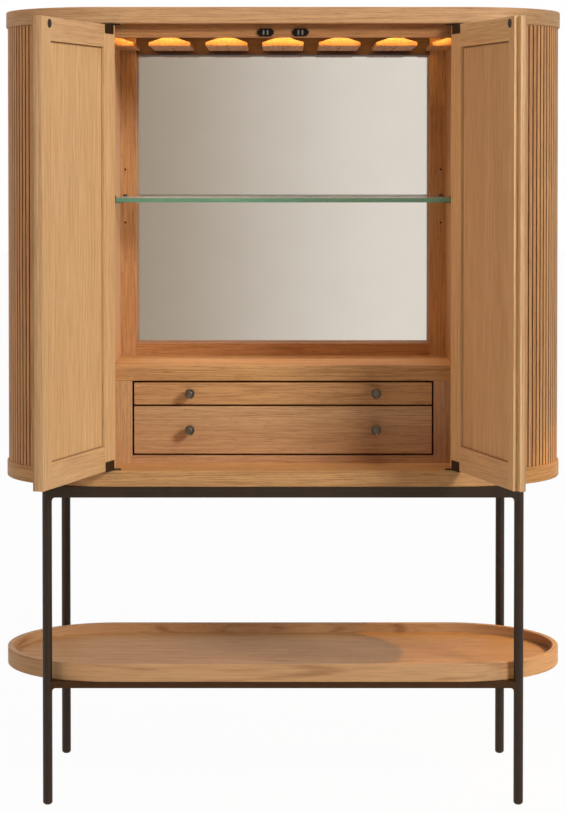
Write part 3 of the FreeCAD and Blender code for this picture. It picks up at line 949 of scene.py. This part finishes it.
@dataclass
class Carcass:
    """Slabs, reeded round ends, walls, back and header, with hinges and catches."""

    slab_edge_mm: float = 2.5
    leaf_mm: float = 128.0
    leaf_lines: tuple[float, ...] = (-1.3, -0.35, 0.6, 1.5)  # in leaves behind the middle
    end_reeds: int = 54
    reed_edge_mm: float = 0.7
    # Depth over which the painted shade in the grooves comes in.
    groove_ramp_mm: float = 0.7
    wall_edge_mm: float = 0.6
    header_edge_mm: float = 1.2
    back_edge_mm: float = 0.8
    back_leaves: int = 4
    screw_mm: float = 4.0
    screw_sunk: float = 0.4  # in shares of the screw's radius
    screw_inset_mm: float = 14.0
    screw_grid: tuple[int, int] = (6, 7)
    catch_edge_mm: float = 1.2
    pole_edge_mm: float = 0.3

    def slabs(self) -> None:
        """Models the top and base slabs with veneer leaves and a banded edge."""
        lines = [plan.middle_y + n * self.leaf_mm * MM for n in self.leaf_lines]
        for seed, node, finish in ((11, "top_panel", Finish.OAK_BAND), (12, "base_panel", Finish.OAK)):
            slab = OakPart(node, Grain.AROUND, self.slab_edge_mm, segments=4, finish=finish)
            slab.build_veneered(seed, lines)

    def ends(self) -> None:
        """Models the half-round reeded ends, each slat its own strip of oak, with painted shade in the
        grooves.
        """
        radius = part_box("right_reeded_end")[1].x - plan.end_x

        def slat(middles: Array, normals: Array) -> Array:
            """Numbers the slats round the end."""
            past_end, behind = plan.past_end(middles)
            return np.floor((np.arctan2(behind, past_end) / math.pi + 0.5) * self.end_reeds).astype(int)

        def painted_shade_at(spots: Array) -> Array:
            """Paints shade in the grooves between the slats, deeper points darker."""
            return groove_painted_shade(radius - np.hypot(*plan.past_end(spots)), self.groove_ramp_mm)

        for seed, side in enumerate(("left", "right"), 21):
            end = OakPart(f"{side}_reeded_end", Grain.UPRIGHT, self.reed_edge_mm, finish=Finish.OAK_END)
            end.build(seed, slat, painted_shade_at=painted_shade_at)

    def boards(self) -> None:
        """Models the walls, the back with its screws and the header rail."""
        # The left wall takes the paler veneer and the right wall plain oak: painted light, as the key lamp
        # lights the left wall and leaves the right in shade.
        for seed, side, finish in ((31, "left", Finish.OAK_VENEER), (32, "right", Finish.OAK)):
            wall = OakPart(f"{side}_side_wall", Grain.UPRIGHT, self.wall_edge_mm, Cut.QUARTER, finish=finish)
            wall.build(seed)
        low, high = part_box("back_panel")
        lines = [low.x + (high.x - low.x) * n / self.back_leaves for n in range(1, self.back_leaves)]

        def leaf(middles: Array, normals: Array) -> Array:
            """Numbers the upright leaves of the back."""
            return np.searchsorted(lines, middles[:, 0])

        back = OakPart("back_panel", Grain.UPRIGHT, self.back_edge_mm, Cut.FLAT)
        back.build(33, leaf, [(X_AXIS, lines)])
        # The header takes the darker copy of the oak: painted shade from the top slab above it.
        OakPart("header_rail", Grain.ALONG_X, self.header_edge_mm, finish=Finish.OAK_DEEP).build(34)
        inset, sink = self.screw_inset_mm * MM, self.screw_sunk * self.screw_mm * MM
        columns = np.linspace(low.x + inset, high.x - inset, self.screw_grid[0])
        rows = np.linspace(low.z + inset, high.z - inset, self.screw_grid[1])
        places = [
            Vector((x, high.y - sink, z))
            for x in columns
            for z in rows
            if x in (columns[0], columns[-1]) or z in (rows[0], rows[-1])
        ]
        heads = screws("back_screws", self.screw_mm, places, Axis.BACKWARD)
        settle(heads, Finish.STEEL, "cabinet", "steel")

    def build(self) -> None:
        """Builds the carcass, then the fixed hinge leaves and the door catches."""
        self.slabs()
        self.ends()
        self.boards()
        MetalPart("carcass_hinge_leaves", Finish.BRONZE, "bronze").build()
        MetalPart("catch_bodies", Finish.PLASTIC, "black_plastic", self.catch_edge_mm, segments=3).build()
        MetalPart("catch_poles", Finish.POLE, "steel", self.pole_edge_mm).build()


@dataclass
class StemRack:
    """Rails that wine glasses hang from, their screws and the light strip."""

    web_edge_mm: float = 0.6
    screw_mm: float = 3.6
    screw_sunk: float = 0.25  # in shares of the screw's radius
    screw_rows_mm: tuple[float, ...] = (18.0, 125.0, 230.0)
    full_rails: int = 5

    def build(self) -> None:
        """Builds the rack."""
        OakPart("stem_rails", Grain.ALONG_Y).build(41)
        OakPart("stem_rail_webs", Grain.ALONG_Y, self.web_edge_mm).build(42)
        MetalPart("led_channel", Finish.ALUMINIUM, "aluminium").build()
        MetalPart("led_diffuser", Finish.DIFFUSER, "diffuser").build()
        low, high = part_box("stem_rails")
        pitch = (high.x - low.x) / (self.full_rails + 1)
        level = low.z + self.screw_sunk * self.screw_mm * MM
        places = [
            Vector((low.x + n * pitch, low.y + row * MM, level))
            for n in range(1, self.full_rails + 1)
            for row in self.screw_rows_mm
        ]
        heads = screws("stem_rail_screws", self.screw_mm, places, Axis.DOWN)
        settle(heads, Finish.BRONZE, "cabinet", "bronze")


@dataclass
class MirrorBack:
    """The mirror in its deep oak frame, and the glass shelf on its clips."""

    frame_edge_mm: float = 0.8
    mirror_edge_mm: float = 0.5
    clip_edge_mm: float = 0.3
    arris_mm: float = 0.8
    peg_inset_mm: float = 10.0
    peg_reach_mm: float = 4.0
    hole_lip_mm: float = 0.2
    return_lip_mm: float = 1.5
    # How dark the painted shade is on the returns beside the mirror and on the top rail behind the rack.
    return_dark: float = 0.55
    rail_dark: float = 0.92
    rear: float = 0.2  # how far a face of the shelf turns back to be of its rear edge

    def build(self) -> None:
        """Builds the mirror, its frame, the shelf and its clips."""
        low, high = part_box("mirror_stiles")
        hole_x = high.x - self.peg_inset_mm * MM
        middle = (low.z + high.z) / 2

        def stile_painted_shade(spots: Array) -> Array:
            """Paints shade into the peg holes and onto the returns beside the mirror.

            Args:
                spots: Points, one row each.

            Returns:
                How much shade is painted on each point.
            """
            hole = np.abs(np.abs(spots[:, 0]) - hole_x) < self.peg_reach_mm * MM
            deep = spots[:, 1] > low.y + np.where(hole, self.hole_lip_mm, self.return_lip_mm) * MM
            return deep * np.where(hole, 1.0, self.return_dark)

        def rail_painted_shade(spots: Array) -> Array:
            """Paints shade on the top rail behind the rack, where no light falls."""
            return (spots[:, 2] > middle) * self.rail_dark

        OakPart("mirror_stiles", Grain.UPRIGHT, self.frame_edge_mm).build(51, painted_shade_at=stile_painted_shade)
        # The rails take the darker copy of the oak as painted shade.
        rails = OakPart("mirror_rails", Grain.ALONG_X, self.frame_edge_mm, finish=Finish.OAK_DEEP)
        rails.build(52, painted_shade_at=rail_painted_shade)
        MetalPart("mirror_glass", Finish.MIRROR, "mirror", self.mirror_edge_mm).build()
        MetalPart("shelf_clips", Finish.KNOB, "steel", self.clip_edge_mm).build()
        shelf = MetalPart("glass_shelf", Finish.GLASS, "glass", self.arris_mm, "shelf").build()
        # The rear edge takes the pale finish, a painted reflection of the mirror's light.
        for finish in (Finish.GLASS_EDGE, Finish.GLASS_BACK):
            shelf.data.materials.append(finish_material(finish))
        for face in shelf.data.polygons:
            on_edge = int(abs(face.normal.z) < SQUARE)
            face.material_index = 2 if face.normal.y > self.rear else on_edge


@dataclass
class DrawerBank:
    """Counter, face frame and the two drawers with their turned knobs."""

    counter_edge_mm: float = 1.5
    face_edge_mm: float = 0.7
    cleat_edge_mm: float = 0.6
    runner_edge_mm: float = 0.5
    front_edge_mm: float = 0.9
    box_edge_mm: float = 0.8
    side_mm: float = 12.0
    bottom_mm: float = 6.0
    knob_sides: int = 48
    knob_profile_mm: tuple[Pair, ...] = (
        (6.2, 0.0), (6.2, 1.2), (4.6, 2.2), (4.3, 12.5), (5.4, 14.2), (9.6, 15.4),
        (10.3, 16.6), (10.5, 18.0), (10.5, 29.8), (10.0, 31.4), (9.3, 32.0), (8.4, 31.8),
        (7.0, 30.4), (5.6, 30.2), (4.2, 30.8), (2.0, 31.2),
    )

    def frame_boards(self) -> None:
        """Models the counter board, the face frame and the fixed runners."""
        form = {"segments": 3, "finish": Finish.OAK_SLAT}
        OakPart("counter_top", Grain.ALONG_X, self.counter_edge_mm, **form).build(61)
        face = (("left_stile", Grain.UPRIGHT), ("right_stile", Grain.UPRIGHT), ("bottom_rail", Grain.ALONG_X))
        for seed, (name, run) in enumerate(face, 62):
            OakPart(f"face_{name}", run, self.face_edge_mm, finish=Finish.OAK_BAND).build(seed)
        OakPart("runner_cleats", Grain.ALONG_Y, self.cleat_edge_mm).build(65)
        MetalPart("cabinet_runners", Finish.RUNNER, "steel", self.runner_edge_mm).build()

    def drawer_box(self, drawer: str, seed: int) -> None:
        """Models the five boards of a drawer box.

        Args:
            drawer: The drawer's body.
            seed: Sets its boards apart.
        """
        low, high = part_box(f"{drawer}_box")
        side = self.side_mm * MM
        left, right, front, back = low.x + side, high.x - side, low.y + side, high.y - side
        floor_top = low.z + self.bottom_mm * MM
        spans = (
            ("left_side", Grain.ALONG_Y, (low.x, low.y), (left, high.y, high.z)),
            ("right_side", Grain.ALONG_Y, (right, low.y), (high.x, high.y, high.z)),
            ("inner_front", Grain.ALONG_X, (left, low.y), (right, front, high.z)),
            ("back", Grain.ALONG_X, (left, back), (right, high.y, high.z)),
            ("bottom", Grain.ALONG_X, (left, front), (right, back, floor_top)),
        )
        for number, (name, run, corner, far_corner) in enumerate(spans):
            start, end = Vector((*corner, low.z)), Vector(far_corner)
            form = {"size": 1, "location": (start + end) / 2, "scale": end - start}
            board = start_piece(f"oak_{drawer}_{name}", bpy.ops.mesh.primitive_cube_add, **form)
            ease(board, self.box_edge_mm)
            lay_grain(board, run, seed + number)
            settle(board, Finish.OAK, drawer, "oak")
        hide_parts(f"{drawer}_box")

    def knobs(self, drawer: str) -> None:
        """Turns a drawer's two knobs.

        Args:
            drawer: The drawer's body.
        """
        low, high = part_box(f"{drawer}_knobs")
        head = (high.z - low.z) / 2
        level = (high.z + low.z) / 2
        places = [Vector((x, high.y, level)) for x in (low.x + head, high.x - head)]
        model = turned(f"{drawer}_turned_knobs", self.knob_profile_mm, self.knob_sides)
        pair = set_out(model, places, Axis.FORWARD)
        settle(pair, Finish.KNOB, drawer, "bronze", f"{drawer}_knobs")

    def build(self) -> None:
        """Builds the counter, the face frame and the drawers."""
        self.frame_boards()
        drawers = ((71, "upper_drawer", Finish.OAK_SLAT), (81, "lower_drawer", Finish.OAK_BAND))
        for seed, drawer, finish in drawers:
            front = OakPart(
                f"{drawer}_front", Grain.ALONG_X, self.front_edge_mm, Cut.FLAT, drawer, finish=finish
            )
            front.build(seed)
            self.drawer_box(drawer, seed + 1)
            self.knobs(drawer)
            MetalPart(f"{drawer}_runners", Finish.RUNNER, "steel", self.runner_edge_mm, drawer).build()


class Side(Enum):
    """A door's side, and which way it turns as it opens."""

    LEFT = -1
    RIGHT = 1


@dataclass
class Door:
    """A framed door with a recessed panel inside and a reeded board outside."""

    side: Side
    seed: int  # sets the door's boards apart, with the three numbers after it
    panel_edge_mm: float = 0.5
    shade_mm: float = 4.5  # width of the panel's border that takes painted shade from its frame
    # How dark the painted shade is beside the hinge stile and the head, and at the foot.
    shade_dark: float = 0.9
    foot_dark: float = 0.7
    reeds: int = 29
    reed_edge_mm: float = 0.7
    # Depth over which the painted shade in the reed grooves comes in.
    groove_ramp_mm: float = 1.2
    band_mm: float = 14.0
    strike_sides: int = 40
    strike_seat_mm: float = 0.75
    strike_profile: tuple[Pair, ...] = (  # share of the radius, and height in millimetres
        (1.0, 0.0), (1.0, 0.9), (0.94, 1.4), (0.46, 1.5), (0.34, 0.9), (0.3, 1.1), (0.12, 1.2),
    )

    def __post_init__(self) -> None:
        """Reads the door's name and its opening from the frame."""
        self.name = f"{self.side.name.lower()}_door"
        joint = next(j for j in frame["joints"] if j["child"] == self.name)
        self.turn = -self.side.value * math.radians(joint["range_deg"][0])
        self.hingeward = Vector((math.cos(self.turn), math.sin(self.turn), 0)) * self.side.value
        self.veneered = {"body": self.name, "turn": self.turn, "finish": Finish.OAK_VENEER}

    def panel(self) -> None:
        """Models the recessed panel, with painted shade beside the hinge stile and the rails."""
        node = f"{self.name}_panel"
        corners = [v.co for v in frame["nodes"][node].data.vertices]
        hinge = max(spot.dot(self.hingeward) for spot in corners)
        low, top = min(spot.z for spot in corners), max(spot.z for spot in corners)
        border = self.shade_mm * MM
        half = border / 2

        def painted_shade_at(spots: Array) -> Array:
            """Paints shade on the border that the frame shades."""
            shaded = (hinge - spots[:, 0] * self.side.value < half) | (spots[:, 2] > top - half)
            return np.maximum(shaded * self.shade_dark, (spots[:, 2] < low + half) * self.foot_dark)

        part = OakPart(node, Grain.UPRIGHT, self.panel_edge_mm, Cut.QUARTER, **self.veneered)
        joints = [(self.hingeward, [hinge - border]), (Z_AXIS, [low + border, top - border])]
        part.build(self.seed + 2, joints=joints, painted_shade_at=painted_shade_at)

    def reed_board(self) -> None:
        """Models the reeded board, each slat its own strip of oak, with painted shade in the grooves."""
        node = f"{self.name}_reeds"
        cos, sin = math.cos(-self.turn), math.sin(-self.turn)
        corners = [v.co for v in frame["nodes"][node].data.vertices]
        across = [cos * spot.x - sin * spot.y for spot in corners]
        start, width = min(across), max(across) - min(across)
        face = min(sin * spot.x + cos * spot.y for spot in corners)

        def slat(middles: Array, normals: Array) -> Array:
            """Numbers the slats across the door."""
            return np.floor((middles[:, 0] - start) / width * self.reeds).astype(int)

        def painted_shade_at(spots: Array) -> Array:
            """Paints shade in the grooves between the slats, deeper points darker."""
            return groove_painted_shade(spots[:, 1] - face, self.groove_ramp_mm)

        edge, finish = self.reed_edge_mm, Finish.OAK_SLAT
        part = OakPart(node, Grain.UPRIGHT, edge, Cut.RIFT, self.name, self.turn, finish=finish)
        self.band_edge(part.build(self.seed + 3, slat, painted_shade_at=painted_shade_at))

    def band_edge(self, piece: Object) -> None:
        """Dresses the faces on the door's free edge as its edge band.

        Args:
            piece: A piece of the door that reaches its free edge.
        """
        out = -self.hingeward
        reach = max(v.co.dot(out) for v in piece.data.vertices)
        piece.data.materials.append(finish_material(Finish.OAK_VENEER))
        for face in piece.data.polygons:
            near = reach - face.center.dot(out) < self.band_mm * MM
            face.material_index = int(near and face.normal.dot(out) > TOWARDS)

    def strike(self) -> None:
        """Turns the round strike plate with its screw in the middle."""
        node = f"{self.name}_strike"
        low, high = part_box(node)
        radius = (high.z - low.z) / 2 / MM
        profile = [(radius * share, height) for share, height in self.strike_profile]
        model = turned(f"{node}_plate", profile, self.strike_sides)
        inner = Vector((math.sin(-self.turn), math.cos(self.turn), 0))
        seat = (low + high) / 2 - inner * self.strike_seat_mm * MM
        plate = set_out(model, [seat], Axis.BACKWARD, self.turn)
        settle(plate, Finish.BRONZE, self.name, "bronze", node)

    def build(self) -> None:
        """Builds the door."""
        OakPart(f"{self.name}_stiles", Grain.UPRIGHT, **self.veneered).build(self.seed)
        OakPart(f"{self.name}_rails", Grain.ALONG_X, **self.veneered).build(self.seed + 1)
        self.panel()
        self.reed_board()
        MetalPart(f"{self.name}_hinge_leaves", Finish.BRONZE, "bronze", body=self.name).build()
        self.strike()


@dataclass
class Stand:
    """Bronzed legs, rails and stretchers, and the oak tray that they carry."""

    leg_edge_mm: float = 1.5
    bar_edge_mm: float = 0.8
    floor_edge_mm: float = 0.6
    rim_edge_mm: float = 2.0
    leaf_mm: float = 110.0
    leaf_lines: tuple[float, ...] = (-1.4, -0.45, 0.5, 1.45)  # in leaves behind the middle

    def build(self) -> None:
        """Builds the stand and its tray."""
        for corner in ("front_left", "front_right", "back_left", "back_right"):
            MetalPart(f"{corner}_leg", Finish.BRONZE, "bronze", self.leg_edge_mm, segments=3).build()
        # The stretchers take the lighter, redder copy of the bronze as painted light and reflection.
        for name, finish in (("rail", Finish.BRONZE), ("stretcher", Finish.BRONZE_BAR)):
            for node in (f"front_{name}", f"back_{name}", f"side_{name}s"):
                MetalPart(node, finish, "bronze", self.bar_edge_mm).build()
        lines = [plan.middle_y + n * self.leaf_mm * MM for n in self.leaf_lines]
        OakPart("tray_floor", Grain.AROUND, self.floor_edge_mm, Cut.FLAT).build_veneered(151, lines)
        form = {"segments": 3, "finish": Finish.OAK_FIGURED}
        OakPart("tray_rim", Grain.AROUND, self.rim_edge_mm, Cut.FLAT, **form).build(152)


# Studio


@dataclass
class Lamp:
    """One soft lamp of the studio."""

    name: str
    spot: Spot
    aim: Spot
    size: Pair
    watts: float
    colour: str
    spread: float = 180.0
    glossy: bool = True

    def build(self) -> None:
        """Hangs the lamp and points it."""
        light = bpy.data.lights.new(self.name, "AREA")
        light.shape = "RECTANGLE"
        light.size, light.size_y = self.size
        light.energy = self.watts
        light.spread = math.radians(self.spread)
        light.color = hex_colour(self.colour)[:3]
        lamp = bpy.data.objects.new(self.name, light)
        bpy.context.scene.collection.objects.link(lamp)
        lamp.visible_camera = False
        lamp.visible_glossy = self.glossy
        lamp.location = self.spot
        lamp.rotation_euler = (Vector(self.aim) - Vector(self.spot)).to_track_quat("-Z", "Y").to_euler()


@dataclass(frozen=True)
class Screen:
    """An upright sheet of the studio that some kinds of ray pass by."""

    name: str
    spot: Spot
    turn: float
    size: Pair
    unseen: tuple[str, ...] = ("camera", "diffuse", "glossy", "transmission")

    def build(self, material: Material) -> None:
        """Stands the sheet up and hides it from those rays.

        Args:
            material: The sheet's material.
        """
        form = {"size": 1, "location": self.spot, "rotation": (math.pi / 2, 0, math.radians(self.turn))}
        sheet = start_piece(self.name, bpy.ops.mesh.primitive_plane_add, **form)
        width, height = self.size
        with editing(sheet):
            bpy.ops.transform.resize(value=(width, width, height), center_override=self.spot)
        sheet.data.materials.append(material)
        for ray in self.unseen:
            setattr(sheet, f"visible_{ray}", False)


@dataclass
class Studio:
    """Camera, pale floor, grey wall behind the camera, lamps, flags and world."""

    eye: Spot = (0.0, -5.0711, 1.3793)
    tilt: float = 1.46
    focal_px: float = 2371.2
    shift: Pair = (-0.0006, -0.2317)
    sight_m: float = 200.0
    ambient: float = 0.12
    floor_m: float = 60.0
    floor_paint: str = "#E9E7E3"
    floor_glow: float = 0.97
    wall: Screen = Screen("studio_wall", (0.0, -9.0, 2.2), 0.0, (8.8, 4.4), ("camera", "diffuse", "shadow"))
    wall_tones: tuple[str, str] = ("#A69786", "#E9E2DA")
    wall_span_m: Pair = (-1.15, 0.85)  # where the wall turns from one tone to the other
    flag_cloth: str = "#0A0A0A"
    daylight: str = "#FFF8F0"
    aim: Spot = (0.0, 0.18, 1.0)
    strip_gap_mm: Pair = (2.0, 3.0)  # the strip lamps' place before the diffuser's back and under it
    strip_aims_m: tuple[Pair, Pair] = ((0.3, 0.03), (0.2, 0.7))  # how far behind and below they aim

    def camera(self) -> None:
        """Sets up the camera at the photograph's viewing angle."""
        data = bpy.data.cameras.new("camera")
        data.sensor_width = SENSOR_MM
        data.lens = self.focal_px / IMAGE_HEIGHT * SENSOR_MM
        data.shift_x, data.shift_y = self.shift
        data.clip_end = self.sight_m
        camera = bpy.data.objects.new("camera", data)
        camera.location = self.eye
        camera.rotation_euler = (math.radians(90 - self.tilt), 0, 0)
        bpy.context.scene.collection.objects.link(camera)
        bpy.context.scene.camera = camera

    def seen_rays(self, tree: Tree) -> Socket:
        """Tells the rays that see the background from those that light the object.

        Args:
            tree: The tree of a stage material or the world.

        Returns:
            A socket that is one for camera, glossy and transmission rays.
        """
        path = add_node(tree, "ShaderNodeLightPath").outputs
        either = sums(tree, "MAXIMUM", path["Is Camera Ray"], path["Is Glossy Ray"])
        return sums(tree, "MAXIMUM", either, path["Is Transmission Ray"])

    def world(self) -> None:
        """Sets a white world that lights the object at a plain level."""
        world = bpy.data.worlds.new("studio")
        bpy.context.scene.world = world
        world.use_nodes = True
        tree = world.node_tree
        tree.nodes.clear()
        level = mapped(tree, self.seen_rays(tree), self.ambient, 1.0)
        sky = add_node(tree, "ShaderNodeBackground", inputs={"Color": WHITE, "Strength": level})
        add_node(tree, "ShaderNodeOutputWorld", inputs={"Surface": sky.outputs[0]})

    def floor(self) -> None:
        """Lays the pale floor, which keeps a light shadow."""
        material, tree = bare_material("pale_studio_floor")
        paint = add_node(tree, "ShaderNodeBsdfDiffuse", inputs={"Color": hex_colour(self.floor_paint)})
        glow = add_node(tree, "ShaderNodeEmission", inputs={"Color": WHITE, "Strength": 1.0})
        share = sums(tree, "MULTIPLY", self.seen_rays(tree), self.floor_glow)
        mixed = {0: share, 1: paint.outputs[0], 2: glow.outputs[0]}
        show(tree, add_node(tree, "ShaderNodeMixShader", inputs=mixed))
        floor = start_piece("studio_floor", bpy.ops.mesh.primitive_plane_add, size=self.floor_m)
        floor.data.materials.append(material)

    def grey_wall(self) -> None:
        """Hangs the grey wall behind the camera that the mirror shows."""
        material, tree = bare_material("grey_studio_wall")
        across = add_node(tree, "ShaderNodeSeparateXYZ", inputs={0: own_place(tree)}).outputs["X"]
        left, right = self.wall_tones
        colour = blend(tree, ramp(tree, across, self.wall_span_m), hex_colour(left), right)
        show(tree, add_node(tree, "ShaderNodeEmission", inputs={"Color": colour}))
        self.wall.build(material)

    def flags(self) -> None:
        """Stands two black flags, which give the eye nothing but a shadow on the right end.

        One holds some of the key lamp off it, the other the side lamp.
        """
        material, tree = bare_material("black_flag_cloth")
        show(tree, add_node(tree, "ShaderNodeBsdfDiffuse", inputs={"Color": hex_colour(self.flag_cloth)}))
        Screen("key_flag", (0.985, -0.54, 1.45), 34, (0.07, 1.28)).build(material)
        Screen("side_flag", (1.4, 0.2, 2.14), 90, (1.4, 0.9)).build(material)

    def lamps(self) -> None:
        """Hangs the lamps.

        A key lights from the upper right front and a fill from the left. Weaker
        ones hang above, at the right side and behind, and two light the mirror
        and the bar space from the strip over the rack.
        """
        low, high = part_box("led_diffuser")
        behind, below = self.strip_gap_mm
        y, z = high.y - behind * MM, low.z - below * MM
        strip, aim, day = (0.0, y, z), self.aim, self.daylight
        level, down = ((0.0, y + back, z - drop) for back, drop in self.strip_aims_m)
        lamps = (
            Lamp("key", (2.85, -3.34, 3.11), aim, (1.1, 1.1), 146, day),
            Lamp("fill", (-3.19, -1.66, 3.58), aim, (1.0, 1.0), 38, "#FFE3CC"),
            Lamp("top", (0.0, -0.86, 4.86), aim, (1.2, 1.2), 18, day),
            Lamp("side", (2.86, 0.18, 3.3), (0.65, 0.18, 0.29), (0.07, 0.07), 1.6, "#FFC034", 24),
            Lamp("back", (0.0, 5.2, 1.25), (0.0, 0.3, 1.1), (2.0, 2.0), 22, day, glossy=False),
            Lamp("strip", strip, level, (0.72, 0.008), 0.3, "#FFC06A", 40),
            Lamp("strip_down", strip, down, (0.68, 0.008), 0.36, "#FFDFC0", 40),
        )
        for lamp in lamps:
            lamp.build()

    def build(self) -> None:
        """Sets up the studio."""
        bpy.context.scene.view_settings.view_transform = "Standard"
        self.camera()
        self.world()
        self.floor()
        self.grey_wall()
        self.flags()
        self.lamps()


def main() -> None:
    """Builds the armoire and the studio in order."""
    logging.basicConfig(level=logging.INFO, format="%(name)s: %(message)s")
    doors = Door(Side.LEFT, 100), Door(Side.RIGHT, 130)
    for part in (Carcass(), StemRack(), MirrorBack(), DrawerBank(), *doors, Stand(), Studio()):
        part.build()


if __name__ == "__main__":
    main()
